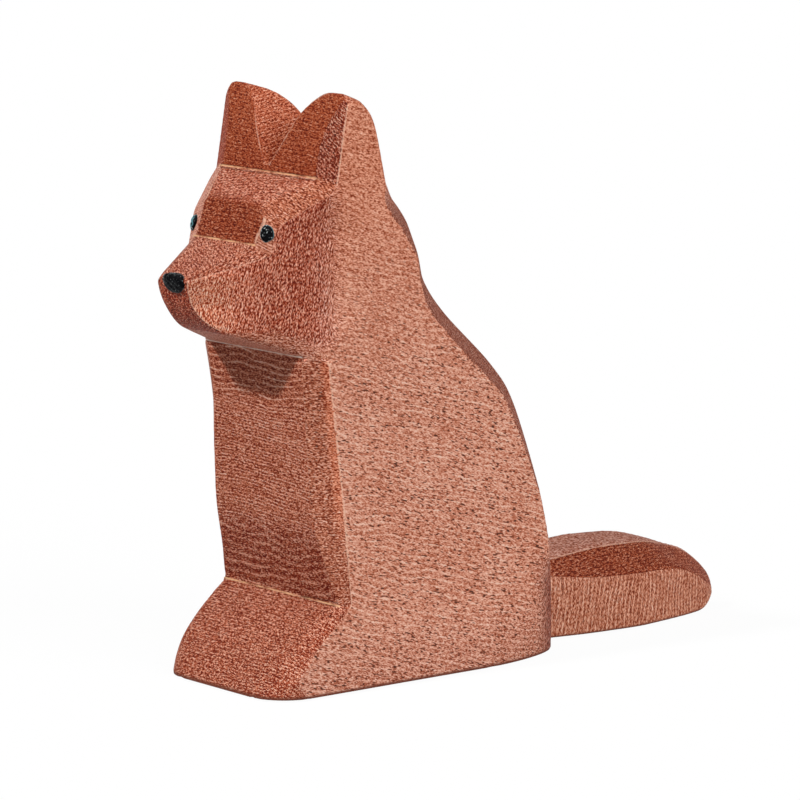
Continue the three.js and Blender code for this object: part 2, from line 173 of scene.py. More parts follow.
# Points of the side outline in millimetres: back from the toes, and up
paw_crease = (12.2, 12.9)
chin = (7.1, 49.8)
jaw = (-1.7, 53.1)
nose_tip = (nose_line, 61.3)
stop = (1.9, 66.1)
brow = (3.6, 71.7)
ear_base = (10, 75.5)
ear_tip = (13.6, 87.7)
ear_heel = (20.7, 74.2)
nape = (26.2, 67.2)
nape_pull = (26.1, 69.6)
nape_top = (23.4, 71.6)
rump = (50.4, 26)
rump_foot = (56.6, 0)
toe_pull = (5.1, 7.5)
waste = 3
toe_waste = (-waste * toe_pull[0] / toe_pull[1], -waste)
rump_waste = (rump_foot[0] + waste * (rump_foot[0] - rump[0]) / rump[1], -waste)
outline = {
    "paw": np.vstack([[toe_waste], arc((0, 0), toe_pull, paw_crease)]),
    "chest": sweep(paw_crease, (9.2, 24), (8.3, 33), chin),
    "jaw": np.array([chin, jaw]),
    "lip": arc(jaw, (-5.7, 54.6), nose_tip),
    "muzzle": np.array([nose_tip, stop]),
    "brow": np.array([stop, brow]),
    "forehead": np.array([brow, ear_base]),
    "ear_front": arc(ear_base, (11.1, 83.6), ear_tip),
    "ear_back": sweep(ear_tip, (16.4, 86.1), (18.6, 82.8), ear_heel),
    "nape": np.vstack([[ear_heel], arc(nape_top, nape_pull, nape)]),
    "back": sweep(nape, (26.6, 63.6), (28.2, 59.4), (33.6, 54), (42.6, 45.5), (46.2, 39.3), rump),
    "rump": np.array([rump, rump_waste]),
    "waste": np.array([rump_waste, toe_waste]),
}
front_edge = np.vstack([outline["paw"][:-1], outline["chest"]])
back_edge = np.vstack([outline[part] for part in ("ear_back", "nape", "back", "rump")])[::-1]

plan_step = 0.25
plan_back = np.arange(-11, 61, plan_step)
plan_up = np.arange(-4, 92, plan_step)
plan_y, plan_z = np.meshgrid(plan_back, plan_up, indexing="ij")


def reach(line):
    """Distance from every point of the plan to a drawn line: the least over its straight steps."""
    nearest = np.full(plan_y.shape, np.inf)
    for (y0, z0), (y1, z1) in zip(line[:-1], line[1:]):
        dy, dz = y1 - y0, z1 - z0
        t = np.clip(((plan_y - y0) * dy + (plan_z - z0) * dz) / (dy * dy + dz * dz), 0, 1)
        nearest = np.minimum(nearest, np.hypot(plan_y - y0 - t * dy, plan_z - z0 - t * dz))
    return nearest


def enclosed(line):
    """Points of the plan inside a closed line: those that a level ray leaves an odd number of times."""
    odd = np.zeros(plan_y.shape, bool)
    for (y0, z0), (y1, z1) in zip(line[:-1], line[1:]):
        spans = (z0 > plan_z) != (z1 > plan_z)
        climb = z1 - z0 if z1 != z0 else 1
        odd ^= spans & (plan_y < y0 + (plan_z - z0) * (y1 - y0) / climb)
    return odd


def look_up(plan, y, z):
    """Value of a plan between its points, mixed in both directions in proportion."""
    i = np.clip((y - plan_back[0]) / plan_step, 0, len(plan_back) - 1.001)
    j = np.clip((z - plan_up[0]) / plan_step, 0, len(plan_up) - 1.001)
    i0, j0 = i.astype(int), j.astype(int)
    s, t = i - i0, j - j0
    low = plan[i0, j0] * (1 - t) + plan[i0, j0 + 1] * t
    high = plan[i0 + 1, j0] * (1 - t) + plan[i0 + 1, j0 + 1] * t
    return low * (1 - s) + high * s


edge_reach = {part: reach(line) for part, line in outline.items()}
sawn = np.minimum.reduce(list(edge_reach.values()))
sawn = np.where(enclosed(np.vstack(list(outline.values()))), -sawn, sawn)


def beyond(x, y, z, a, b, c):
    """Height above the plane through three points, seen anticlockwise from the side that is cut away."""
    normal = np.cross(np.subtract(b, a), np.subtract(c, a))
    normal = normal / np.linalg.norm(normal)
    return normal[0] * (x - a[0]) + normal[1] * (y - a[1]) + normal[2] * (z - a[2])


def corner_cut(x, y, z, edge, rows, facing):
    """Knife cut along an upright corner. At each height it runs from a point on the side face to one
    on the front or back; u and v are 1 at the corner and 0 at those points, and the cut is where
    u^p + v^p = 1, with p 1 for a flat cut and more for a rounded one."""
    height, side, face, bulge = rows.T
    s = np.interp(z, height, side)
    f = np.interp(z, height, face)
    p = np.log(0.5) / np.log(0.5 + 0.25 * np.interp(z, height, bulge))
    u = 1 + (x - half_board) / f
    v = 1 + facing * (y - np.interp(z, edge[:, 1], edge[:, 0])) / s
    past = (np.maximum(u, 0) ** p + np.maximum(v, 0) ** p) ** (1 / p) - 1
    return (past + np.minimum(u, 0) + np.minimum(v, 0)) * f * s / np.hypot(f, s)


# Height, run along the side face, run across the front or back, and roundness of each corner cut
left_front = sweep((0, 6, 6.3, 0.75), (2.5, 2.4, 5.2, 0.5), (6, 1.9, 4, 0.4), (11, 2.2, 2, 0.3),
                   (12.9, 1.8, 1.1, 0.2), (24, 3.7, 2.7, 0), (33, 3.5, 3.1, 0), (49.8, 2.6, 3, 0))
right_front = sweep((0, 4.6, 6.2, 0.8), (2.5, 2.2, 3.4, 0.6), (6, 0.9, 1.4, 0.4), (12.9, 0.9, 0.8, 0.2),
                    (20, 2.4, 2.3, 0), (33, 3.3, 3.2, 0), (42, 2.8, 3.9, 0), (49.8, 1.9, 3, 0))
both_back = sweep((0, 16, 5, 0.55), (6, 10, 3.4, 0.5), (12, 4, 1.8, 0.4), (18, 0.7, 0.6, 0.2),
                  (26, 0.7, 0.6, 0), (39.3, 2.3, 1.6, 0), (45.5, 4.4, 2.7, 0), (54, 4.1, 2.6, 0),
                  (59.4, 1.3, 0.9, 0), (63.6, 0.6, 0.3, 0), (70, 3.8, 2.7, 0), (74.2, 0.2, 0.2, 0))

cheek_back = 10.4
nose_half = 3.45
brow_half = 6.8
brow_lean = 2.3
eye_turn = np.radians(21)
notch_foot = 76.6
notch_side = arc((4.2, 82.5), (7.4, 87), (half_board, 86.9))
notch_wall = np.vstack([[(0, notch_foot)], notch_side, [(half_board + 3, 86.9)]])
notch_lean = np.tan(np.radians(20))
tip_place = (13.7, ear_tip[0], 87.45)
tip_facing = (0.8, -0.15, 0.58)
peg_hole_half = 2.8
peg_hole_deep = 10.6
peg_height = 7.5
rump_lean = np.arctan2(rump_foot[0] - rump[0], rump[1])
peg_seat = (rump_foot[0] - peg_height * np.tan(rump_lean), peg_height)


def cheek_half(y):
    """Half-width of the head at a set-back, on a straight taper from the side of the board to the nose."""
    return nose_half + (y - nose_line) * (half_board - nose_half) / (cheek_back - nose_line)


def rise(value, low, high):
    """0 up to low, 1 beyond high and even between; with high below low it falls instead."""
    return np.clip((value - low) / (high - low), 0, 1)


def from_peg_seat(y, z):
    """Distances from the middle of the peg: along it towards the tail, and up across it."""
    along = (y - peg_seat[0]) * np.cos(rump_lean) + (z - peg_seat[1]) * np.sin(rump_lean)
    off = (z - peg_seat[1]) * np.cos(rump_lean) - (y - peg_seat[0]) * np.sin(rump_lean)
    return along, off


def body_cuts(x, y, z):
    """All cuts of the body, each with how much its edges are eased and the faces that bound it.
    A face is a distance that is positive on the waste side, and a cut takes what is beyond all its faces.
    A place is x across from the middle of the board, y back from the toes and z up, in millimetres."""
    ax = np.abs(x)
    wander = 0.05 * np.sin(0.31 * y + 0.2 * z) * np.sin(0.17 * z + 0.4 * x + 1)
    cheek_slope = np.hypot(half_board - nose_half, cheek_back - nose_line)
    right_fuller = 0.5 * (x < 0) * rise(y, 4, -6)
    left_tucked = 1.5 * (x > 0) * rise(z, 61.5, 57.5) * rise(y, 4, -5)
    cheek = (ax - right_fuller + left_tucked - cheek_half(y)) * (cheek_back - nose_line) / cheek_slope
    cheek_soft = 0.3 + 3.7 * rise(y, -1, 9) * np.interp(z, [51, 56, 68, 73], [0.1, 1, 1, 0.1])
    chest_side = (half_board - 3, chin[0], chin[1])
    side_end = (half_board, chin[0] + 2.6, chin[1])
    jaw_back = (cheek_half(chin[0]), chin[0], chin[1] + 2.4)
    jaw_front = (cheek_half(-5.6), -5.6, 56.6)
    jaw_under = (half_board - 3.3, chin[0], chin[1])
    brow_foot = (brow_half, *stop)
    brow_out = (brow_half + np.cos(eye_turn), stop[0] + np.sin(eye_turn), stop[1])
    eye = np.where(x > 0, beyond(ax, y, z, brow_foot, brow_out, (brow_half + brow_lean, *brow)),
                   beyond(ax, y, z, brow_foot, brow_out, (brow_half, *brow)))
    bevel_inner = (half_board - 3.4, *ear_base)
    bevel_outer = (half_board, ear_base[0] + 1.5, ear_base[1])
    temple_in = (brow_half - 0.3, *brow)
    temple_out = (cheek_half(5.8), 5.8, 70.3)
    temple_back = (half_board - 3.1, *ear_base)
    shoulder_in = (brow_half - 0.3, *stop)
    shoulder_tip = (nose_half - 0.3, *nose_tip)
    shoulder_out = (cheek_half(0.7), 0.7, 63.9)
    front = np.where(x > 0, corner_cut(ax, y, z, front_edge, left_front, -1),
                     corner_cut(ax, y, z, front_edge, right_front, -1))
    back = corner_cut(ax, y, z, back_edge, both_back, 1)
    flared = ax - 1.2 * (x < 0) * rise(y, 15, 11)
    wall = np.interp(flared, notch_wall[:, 0], notch_wall[:, 1])
    wall_slope = np.interp(flared, notch_wall[:, 0], np.gradient(notch_wall[:, 1], notch_wall[:, 0]))
    notch = (z - (y - ear_base[0]) * notch_lean - wall) / np.hypot(1, wall_slope)
    along, off = from_peg_seat(y, z)
    tip = sum(facing * (at - place) for facing, at, place in zip(tip_facing, (ax, y, z), tip_place))
    return [
        (0, [("side", ax - half_board + 0.4 * wander)]),
        (cheek_soft, [("cheek", cheek + wander), ("jaw", z - chin[1])]),
        (np.interp(y, [0, 8], [0.25, 0.5]), [("sawn", look_up(sawn, y, z) + wander)]),
        (0.9, [("jaw_bevel", beyond(ax, y, z, jaw_front, jaw_under, jaw_back)),
               ("jaw_bevel", beyond(ax, y, z, chest_side, side_end, jaw_back)), ("jaw", z - chin[1] + 0.3)]),
        (0.4, [("eye_facet", eye), ("shoulder", beyond(ax, y, z, shoulder_in, shoulder_tip, shoulder_out))]),
        (0.4, [("ear_bevel", beyond(ax, y, z, bevel_inner, bevel_outer, (half_board, *ear_tip))),
               ("temple", beyond(ax, y, z, temple_in, temple_out, temple_back))]),
        (0.3, [("chest_bevel", front + wander), ("jaw", chin[1] - z)]),
        (0.4, [("back_bevel", back + wander)]),
        (0.35, [("base", -z)]),
        (0.5, [("notch", notch + wander)]),
        (0.9, [("tip", tip)]),
        (0, [("bore", peg_hole_half - np.hypot(x, off)), ("bore", along + peg_hole_deep)]),
    ]


def depth(cuts):
    """How far outside a carved block a point is. Of two cuts the larger counts, plus k h^2 / 4 where they
    are within k of each other, h going from 0 to 1 at the edge where they meet."""
    total = -np.inf
    for ease, faces in cuts:
        cut = faces[0][1]
        for _, face in faces[1:]:
            cut = np.minimum(cut, face)
        near = np.maximum(ease - np.abs(total - cut), 0)
        total = np.maximum(total, cut) + near ** 2 / (4 * np.maximum(ease, 1e-6))
    return total


def carved(cuts):
    """Field of a carved block: the depth of a point of space in its cuts, less than 0 in the wood."""
    return lambda x, y, z: depth(cuts(x, y, z))


def slope(field, points, step=0.04):
    """Slope of a field at points: half the change over a step each way along every axis, by the step."""
    rows = []
    for axis in np.eye(3) * step:
        rows.append(field(*(points + axis).T) - field(*(points - axis).T))
    return np.stack(rows, 1) / (2 * step)


def settle(field, points, most, least=0.2):
    """Points moved down the slope of a field onto its zero, each by no more than a given length: the
    field divided by the square of the slope, which counts as least where the field is flat."""
    fall = slope(field, points)
    shift = field(*points.T) / np.maximum((fall ** 2).sum(1), least)
    return points - np.clip(shift, -most, most)[:, None] * fall


def skin(field, low, high, cell):
    """Surface where a field is zero. Space is a grid of cells; a cell that the surface passes through
    gets a point at the mean of its edge crossings, and each grid edge that crosses the surface a
    four-sided face between the cells around it. The points then slide down the slope onto the surface."""
    axes = [np.arange(a, b + cell, cell) for a, b in zip(low, high)]
    away = field(*np.meshgrid(*axes, indexing="ij", sparse=True))
    inside = away < 0
    shape = np.array(away.shape) - 1
    corners = np.array([(i, j, k) for i in (0, 1) for j in (0, 1) for k in (0, 1)])
    full = sum(inside[i:shape[0] + i, j:shape[1] + j, k:shape[2] + k].astype(int) for i, j, k in corners)
    cells = np.argwhere((full > 0) & (full < 8))
    number = np.full(shape, -1)
    number[tuple(cells.T)] = np.arange(len(cells))
    total = np.zeros((len(cells), 3))
    hits = np.zeros((len(cells), 1))
    for axis in range(3):
        for corner in corners[corners[:, axis] == 0]:
            first = away[tuple((cells + corner).T)]
            second = away[tuple((cells + corner + np.eye(3, dtype=int)[axis]).T)]
            crosses = (first < 0) != (second < 0)
            share = np.where(crosses, first / np.where(crosses, first - second, 1), 0)
            total += crosses[:, None] * (corner + share[:, None] * np.eye(3)[axis])
            hits += crosses[:, None]
    points = np.array([a[0] for a in axes]) + (cells + total / hits) * cell
    faces = []
    for axis in range(3):
        u, v = np.eye(3, dtype=int)[(axis + 1) % 3], np.eye(3, dtype=int)[(axis + 2) % 3]
        here = np.take(inside, range(shape[axis]), axis)
        change = here != np.take(inside, range(1, shape[axis] + 1), axis)
        edges = np.argwhere(change)
        leaves = here[tuple(edges.T)]
        ring = [number[tuple((edges - step).T)] for step in (u + v, v, 0 * u, u)]
        ring = np.stack(ring, 1)
        faces.append(np.where(leaves[:, None], ring, ring[:, ::-1]))
    for _ in range(3):
        points = settle(field, points, 0.75 * cell)
    return points, np.vstack(faces)


def gap(cuts):
    """How much further out the outermost cut of a point lies than the next one; it is 0 along an edge."""
    first = second = -np.inf
    for _, faces in cuts:
        cut = np.minimum.reduce([face for _, face in faces])
        second = np.maximum(second, np.minimum(first, cut))
        first = np.maximum(first, cut)
    return first - second


edge_span = 0.24
edge_close = 0.03
edge_band = 0.4
least_slope = 0.22
blunt_slope = 0.25
sharp_slope = 0.55


def to_edges(cuts, points, faces):
    """Points close to an edge, moved onto it down the slope of the gap and back onto the skin, and
    how near each point then is to a sharp edge, from 0 to 1."""

    def edge(x, y, z):
        """Field that is 0 along the edges of the cuts."""
        return gap(cuts(x, y, z))

    fall = slope(edge, points)
    sharp = np.linalg.norm(fall, axis=1)
    around = sharp.copy()
    np.maximum.at(around, faces.ravel(), np.repeat(sharp[faces].max(1), 4))
    for _ in range(2):
        here = edge(*points.T)
        size = np.maximum(np.linalg.norm(fall, axis=1), least_slope)
        pull = (here / size < edge_span) & (here / size > edge_close)
        points = points - np.where(pull, here / size ** 2, 0)[:, None] * fall
        points = settle(carved(cuts), points, edge_span)
        fall = slope(edge, points)
    near = rise(edge(*points.T) / np.maximum(around, least_slope), edge_band, 0)
    return points, near * rise(around, blunt_slope, sharp_slope)


sharp_share = 0.2


def lay_skin(name, points, faces):
    """Smooth-shaded object of a skin, moved from the toes to the frame and from millimetres to metres."""
    mesh = bpy.data.meshes.new(name)
    mesh.from_pydata((points + [0, toe_line, 0]) * mm, [], faces)
    mesh.polygons.foreach_set("use_smooth", np.ones(len(faces), bool))
    made = bpy.data.objects.new(name, mesh)
    scene.collection.objects.link(made)
    return made


def lay_carved(name, cuts, points, faces, near):
    """Object of a carved skin. Its normals are the slope of the field, and at a sharp edge a face keeps
    the normal that the skin has in the middle of the face."""
    field = carved(cuts)
    normals = slope(field, points)[faces]
    face, corner = np.nonzero(near[faces] > sharp_share)
    normals[face, corner] = slope(field, points[faces[face]].mean(1))
    normals = normals / np.linalg.norm(normals, axis=2)[..., None]
    made = lay_skin(name, points, faces)
    made.data.normals_split_custom_set(normals.reshape(-1, 3))
    return made


blend_width = 0.04


def fade(behind):
    """Share left to a face that lies behind another: it falls to 1/e over the blend width."""
    return np.exp(-np.minimum(behind / blend_width, 30))


def shares(cuts):
    """Share of each named face in a point of the skin, by how far it lies behind the outermost face."""
    found = {}
    outermost = depth([(0, faces) for _, faces in cuts])
    for _, faces in cuts:
        cut = np.minimum.reduce([face for _, face in faces])
        part = fade(outermost - cut)
        for name, face in faces:
            found[name] = found.get(name, 0) + part * fade(face - cut)
    return found


def body_parts(points):
    """Share of each finish in points of the body: that of the faces, with the sawn outline told apart by
    its nearest part, and some faces split again where the finish changes within them."""
    x, y, z = points.T
    cuts = body_cuts(x, y, z)
    found = shares(cuts)
    far = {part: look_up(plan, y, z) for part, plan in edge_reach.items()}
    nearest = np.minimum.reduce(list(far.values()))
    weights = {part: fade(away - nearest) for part, away in far.items()}
    total = sum(weights.values())
    for part, weight in weights.items():
        found[part] = found.get(part, 0) + found["sawn"] * weight / total

    def split(name, new, weight):
        """Moves a share of one finish over to another."""
        moved = found[name] * weight
        found[new] = found.get(new, 0) + moved
        found[name] = found[name] - moved

    beside = dict(pair for _, faces in cuts[:2] for pair in faces)
    turned = rise(beside["cheek"] - beside["side"], -1.6, 1.6)
    turned = turned ** 2 * (3 - 2 * turned) * np.interp(z, [50, 53, 72, 77], [0, 1, 1, 0])
    both = found["cheek"] + found["side"]
    found["cheek"] = both * turned
    found["side"] = both * (1 - turned)
    split("cheek", "cheek_front", rise(y, 2.5, -3.5) * rise(z, 66, 61))
    split("side", "ear_side", rise(z, 44, 76))
    behind = np.interp(z, back_edge[:, 1], back_edge[:, 0])
    split("back_bevel", "side", rise(z, 30, 22))
    split("back_bevel", "heel", rise(z, 70, 73.5))
    # Painted shade: the low rear corner is darker where it turns away from the side lamp, and the side is a
    # little darker towards the base.
    split("side", "rear", rise(y - behind, -5, -1) * rise(z, 17, 12))
    split("side", "rear", 0.2 * rise(z, 10, 2))
    # Painted shade: the notch between the ears darkens towards its bottom.
    split("notch", "notch_low", rise(z, 84, 78))
    split("chest_bevel", "paw", rise(z, 13.6, 12.1))
    split("chest_bevel", "bevel_rim", rise(np.abs(x) - half_board, -1.1, -0.6) * rise(z, 20, 28))
    split("chest", "chest_top", rise(z, 40, 44))
    split("chest", "chest_low", rise(z, 25, 21))
    split("ear_bevel", "far_bevel", x < 0)
    # Painted sheen: the eye facet and temple on the dog's right take a paler tone.
    split("eye_facet", "far_temple", x < 0)
    split("temple", "far_temple", x < 0)
    brow_depth = (0.28 - 0.022 * x) * (ear_base[0] - brow[0])
    split("forehead", "brow", rise((y - brow[0]) / brow_depth, 0.9, -0.1))
    return found


creases = (paw_crease, chin, stop, ear_base)
crease_reach = 0.35
crease_band = 1.2
body_low = (-15.2, -8.2, -0.6)
body_high = (15.2, 57.4, 88.6)
body_cell = 0.42
body_points, body_faces = skin(carved(body_cuts), body_low, body_high, body_cell)
body_points, body_near = to_edges(body_cuts, body_points, body_faces)
for crease_back, crease_up in creases:
    close = np.hypot(body_points[:, 1] - crease_back, body_points[:, 2] - crease_up) < crease_reach
    body_points[close, 1:] = (crease_back, crease_up)
    body_near[close] = 0
body = lay_carved("dog_body", body_cuts, body_points, body_faces, body_near)


def dress(piece, points, faces, parts, finish, kin, wear_and_shade):
    """Finish of a carved piece. A face corner takes its tone and the strength of its marks from the shares
    of the finish that the face belongs to and of the kin that it runs over into; a face takes the way its
    tool marks run, and the way across them, one to each pitch, from that finish alone."""
    found = parts(points)
    names = [name for name in finish if name in found]
    table = np.stack([found[name] for name in names], 1)
    middle = points[faces].mean(1)
    middle_found = parts(middle)
    owner = np.argmax(np.stack([middle_found[name] for name in names], 1), 1)
    looks = np.array([(*finish[name][0], *finish[name][2]) for name in names])
    groups = [next((group for group in kin if name in group), (name,)) for name in names]
    corners = np.zeros((*faces.shape, 7))
    for group in set(groups):
        inside = np.array([other == group for other in groups])
        own = inside[owner]
        part = table[:, inside]
        corners[own] = (part @ looks[inside] / np.maximum(part.sum(1), 1e-30)[:, None])[faces[own]]
    facing = np.cross(points[faces[:, 2]] - points[faces[:, 0]], points[faces[:, 3]] - points[faces[:, 1]])
    stroke = np.zeros((len(faces), 3))
    across = np.zeros((len(faces), 3))
    for number, name in enumerate(names):
        for side in (1, -1):
            own = (owner == number) & (np.where(middle[:, 0] < 0, -1, 1) == side)
            run = np.array(finish[name][1]) * (1 if name in outline else side, 1, 1)
            run = run / max(np.linalg.norm(run), 1e-9)
            over = np.cross(facing[own].sum(0), run)
            stroke[own] = run
            across[own] = over / max(np.linalg.norm(over), 1e-9) / finish[name][3]
    tone = np.concatenate([corners[..., :3], np.ones((*faces.shape, 1))], -1)
    layers = (("tone", "FLOAT_COLOR", "CORNER", tone), ("marks", "FLOAT_COLOR", "CORNER", corners[..., 3:]),
              ("stroke", "FLOAT_VECTOR", "FACE", stroke), ("across", "FLOAT_VECTOR", "FACE", across),
              ("wear_and_shade", "FLOAT_COLOR", "POINT", wear_and_shade))
    for name, kind, domain, values in layers:
        layer = piece.data.attributes.new(name, kind, domain)
        field = "color" if kind == "FLOAT_COLOR" else "vector"
        layer.data.foreach_set(field, values.astype(np.float32).ravel())


# Oiled tone of each face, the way its marks run, the strength of its lines, flecks, pores and scores, and
# the pitch of the scores. End grain took up more oil than the sanded sides, so the brow and the ears
# are darker and redder.
body_finish = {
    "side": ((0.597, 0.268, 0.179), (0, 0.96, -0.27), (0.3, 0.38, 1.1, 0.45), 0.9),
    "ear_side": ((0.531, 0.189, 0.108), (0, 0.96, -0.27), (0.45, 0.55, 0.0, 0.3), 0.9),
    # Painted shade on the low rear corner
    "rear": ((0.24, 0.052, 0.026), (0, 0.2, 0.98), (1.1, 1.0, 1.3, 0.0), 0.6),
    "cheek": ((0.345, 0.06, 0.024), (0.13, 0.2, 0.97), (2.4, 0.6, 0.3, 0.0), 0.58),
    "cheek_front": ((0.64, 0.177, 0.089), (0.13, 0.2, 0.97), (1.9, 0.5, 0.3, 0.0), 0.58),
    "jaw": ((0.584, 0.202, 0.125), (0.2, 0.9, 0.3), (0.6, 1.1, 0.2, 0.2), 0.6),
    "jaw_bevel": ((0.43, 0.135, 0.076), (0.3, 0.9, 0.1), (1.2, 0.9, 0.3, 0.2), 0.6),
    "eye_facet": ((0.458, 0.161, 0.095), (0.88, 0.33, -0.34), (0.6, 0.5, 0.0, 1.5), 0.42),
    # Paler tone as a painted sheen on the dog's right
    "far_temple": ((0.606, 0.249, 0.17), (0.88, 0.33, -0.34), (0.5, 0.6, 0.0, 0.2), 0.42),
    "shoulder": ((0.339, 0.075, 0.033), (0.2, 0.8, 0.5), (1.9, 1.1, 0.2, 0.0), 0.6),
    "ear_bevel": ((0.295, 0.049, 0.019), (0.5, 0.6, -0.6), (1.9, 1.2, 1.2, 1.6), 0.5),
    "far_bevel": ((0.344, 0.06, 0.026), (0.5, 0.6, -0.6), (0.8, 0.9, 0.3, 0.0), 0.6),
    "temple": ((0.384, 0.103, 0.048), (0.88, 0.33, -0.34), (1.0, 1.0, 0.2, 0.5), 0.45),
    "chest_bevel": ((0.407, 0.125, 0.066), (0.75, 0.66, 0), (1.3, 0.7, 0.8, 0.3), 0.5),
    "bevel_rim": ((0.511, 0.151, 0.076), (0.75, 0.66, 0), (1.0, 0.6, 0.3, 0.0), 0.5),
    "back_bevel": ((0.258, 0.07, 0.037), (0.7, 0.7, 0), (1.0, 0.9, 0.6, 0.2), 0.6),
    "heel": ((0.4, 0.125, 0.07), (0.7, 0.7, 0), (1.0, 0.9, 0.1, 0.0), 0.6),
    "notch": ((0.385, 0.088, 0.038), (0.1, 0.99, 0), (0.9, 0.9, 0.1, 0.7), 0.6),
    "notch_low": ((0.378, 0.072, 0.025), (0.1, 0.99, 0), (1.0, 0.9, 0.1, 1.0), 0.6),
    "tip": ((0.40, 0.115, 0.06), (0.1, 0.99, 0), (0.4, 0.9, 0.1, 0.2), 0.6),
    "bore": ((0.4, 0.16, 0.1), (0, 0, 1), (0.3, 0.6, 0.4, 0.0), 0.6),
    "paw": ((0.375, 0.077, 0.031), (1, 0.1, 0), (2.1, 1.0, 0.6, 0.2), 0.6),
    "chest": ((0.478, 0.131, 0.066), (1, 0, 0.04), (1.3, 0.85, 0.3, 1.3), 0.5),
    "chest_top": ((0.432, 0.121, 0.062), (1, 0, 0.04), (1.0, 0.7, 0.1, 1.6), 0.95),
    "chest_low": ((0.357, 0.059, 0.021), (1, 0, 0.04), (2.3, 1.4, 0.5, 1.5), 1.4),
    "lip": ((0.491, 0.069, 0.024), (0.6, 0.3, 0.7), (1.7, 1.5, 2.4, 0.0), 0.6),
    "muzzle": ((0.407, 0.086, 0.036), (0.85, -0.47, -0.24), (2.1, 1.5, 0.3, 0.0), 0.6),
    "brow": ((0.265, 0.039, 0.01), (1, 0, 0), (1.25, 0.7, 0.0, 0.3), 0.6),
    "forehead": ((0.441, 0.096, 0.041), (0.98, 0.15, 0.1), (1.7, 1.7, 0.2, 0.35), 0.7),
    "ear_front": ((0.316, 0.054, 0.016), (1, 0, 0), (1.05, 0.5, 0.0, 0.2), 0.6),
    "ear_back": ((0.4, 0.129, 0.073), (1, 0, 0), (0.6, 0.8, 0.6, 0.2), 0.6),
    "nape": ((0.38, 0.12, 0.069), (1, 0, 0), (0.6, 0.8, 0.6, 0.2), 0.6),
    "back": ((0.36, 0.115, 0.066), (1, 0, 0), (0.6, 0.8, 0.7, 0.3), 0.6),
    "rump": ((0.38, 0.129, 0.077), (1, 0, 0), (0.6, 0.8, 0.7, 0.3), 0.6),
    "base": ((0.42, 0.156, 0.095), (0, 1, 0), (0.5, 0.9, 0.6, 0.2), 0.6),
}
body_kin = (("side", "ear_side", "rear", "cheek", "cheek_front"), ("brow", "forehead", "temple"),
            ("paw", "chest_bevel", "bevel_rim"), ("chest", "chest_top", "chest_low"), ("notch", "notch_low"),
            ("back_bevel", "heel"))
crease_far = np.stack([np.hypot(body_points[:, 1] - a, body_points[:, 2] - b) for a, b in creases])
crease_near = rise(crease_far.min(0), crease_band, 0)
edge_parts = body_parts(body_points)
usual_edge = 0.68
# Pairs of faces and how much of the tone the edge between them has lost to handling
edges = (("temple", "forehead", 0), ("temple", "eye_facet", 0), ("cheek", "side", 0),
         ("jaw_bevel", "side", 0), ("notch", "tip", 0), ("tip", "ear_side", 0),
         ("jaw_bevel", "cheek", 0.5), ("ear_bevel", "ear_front", 0.5), ("temple", "cheek", 0.75),
         ("shoulder", "cheek", 0.75), ("shoulder", "cheek_front", 0.75), ("notch", "ear_front", 0.9),
         ("brow", "far_temple", 0.9), ("forehead", "far_temple", 0.9), ("notch_low", "ear_front", 0.95),
         ("ear_bevel", "ear_side", 0.95), ("lip", "cheek", 1), ("lip", "cheek_front", 1),
         ("chest_bevel", "side", 1.1), ("bevel_rim", "side", 1.1), ("brow", "eye_facet", 2.5))


def meeting(parts, first, second):
    """1 along the edge where two finishes meet and 0 away from it: six times the product of their shares."""
    return np.clip(6 * parts[first] * parts[second], 0, 1)


edge_level = usual_edge
for first, second, level in edges:
    edge_level = edge_level + (level - usual_edge) * meeting(edge_parts, first, second)
notch_rim = np.maximum.reduce([meeting(edge_parts, "ear_front", part) for part in ("notch", "notch_low")])
far_notch_loss = 0.3
edge_level = edge_level * (1 - far_notch_loss * notch_rim * (body_points[:, 0] < 0))
worn_heights = (2, 24, 34, 50, 53.5, 57.5)
worn_shares = (0.75, 0.8, 1, 1, 0.72, 1)
edge_level = edge_level * np.interp(body_points[:, 2], worn_heights, worn_shares)
near_chest = rise(body_points[:, 0], 0, 8) * (edge_parts["chest_low"] > 0.3)
# Painted shade: a dark line a little way off the ear crease on the forehead, and off the paw crease on the
# lower chest towards the dog's left.
crease_shade_band = crease_near * np.maximum(edge_parts["forehead"] > 0.3, near_chest)
# Painted highlight: the thread in the chin crease is made whiter, as if lit under the jaw.
chin_thread_highlight = (crease_far.argmin(0) == creases.index(chin)) * 1.0
# Wear and painted light on the body: edge wear, nearness to a crease for the pale thread, the painted shade
# beside the creases and the painted highlight of the chin's thread.
body_wear_and_shade = np.stack([body_near * edge_level, crease_near, crease_shade_band, chin_thread_highlight], 1)
dress(body, body_points, body_faces, body_parts, body_finish, body_kin, body_wear_and_shade)


def calc(tree, operation, *values, clamp=False):
    """Arithmetic on single values in a shader."""
    return node(tree, "Math", dict(enumerate(values)), operation=operation, use_clamp=clamp).outputs[0]


def ramp(tree, value, low, high, low_out=0.0, high_out=1.0):
    """Eased step: low_out below low, high_out above high, and a smooth rise between."""
    feeds = {"Value": value, "From Min": low, "From Max": high, "To Min": low_out, "To Max": high_out}
    return node(tree, "MapRange", feeds, interpolation_type="SMOOTHSTEP").outputs[0]


def even(tree, value, low, high):
    """Even step: 0 at low, 1 at high and straight between; with high below low it falls instead."""
    return node(tree, "MapRange", {"Value": value, "From Min": low, "From Max": high}).outputs[0]


def blend(tree, share, first, second):
    """Two colours mixed by a share from 0 to 1."""
    return node(tree, "Mix", {0: share, 6: first, 7: second}, data_type="RGBA").outputs[2]


def speckle(tree, place, scale, detail, rough):
    """Cloudy noise from about 0.2 to 0.8 with its mean at a half; scale is spots to a unit of the place."""
    feeds = {"Vector": place, "Scale": scale, "Detail": detail, "Roughness": rough}
    return node(tree, "TexNoise", feeds).outputs[0]
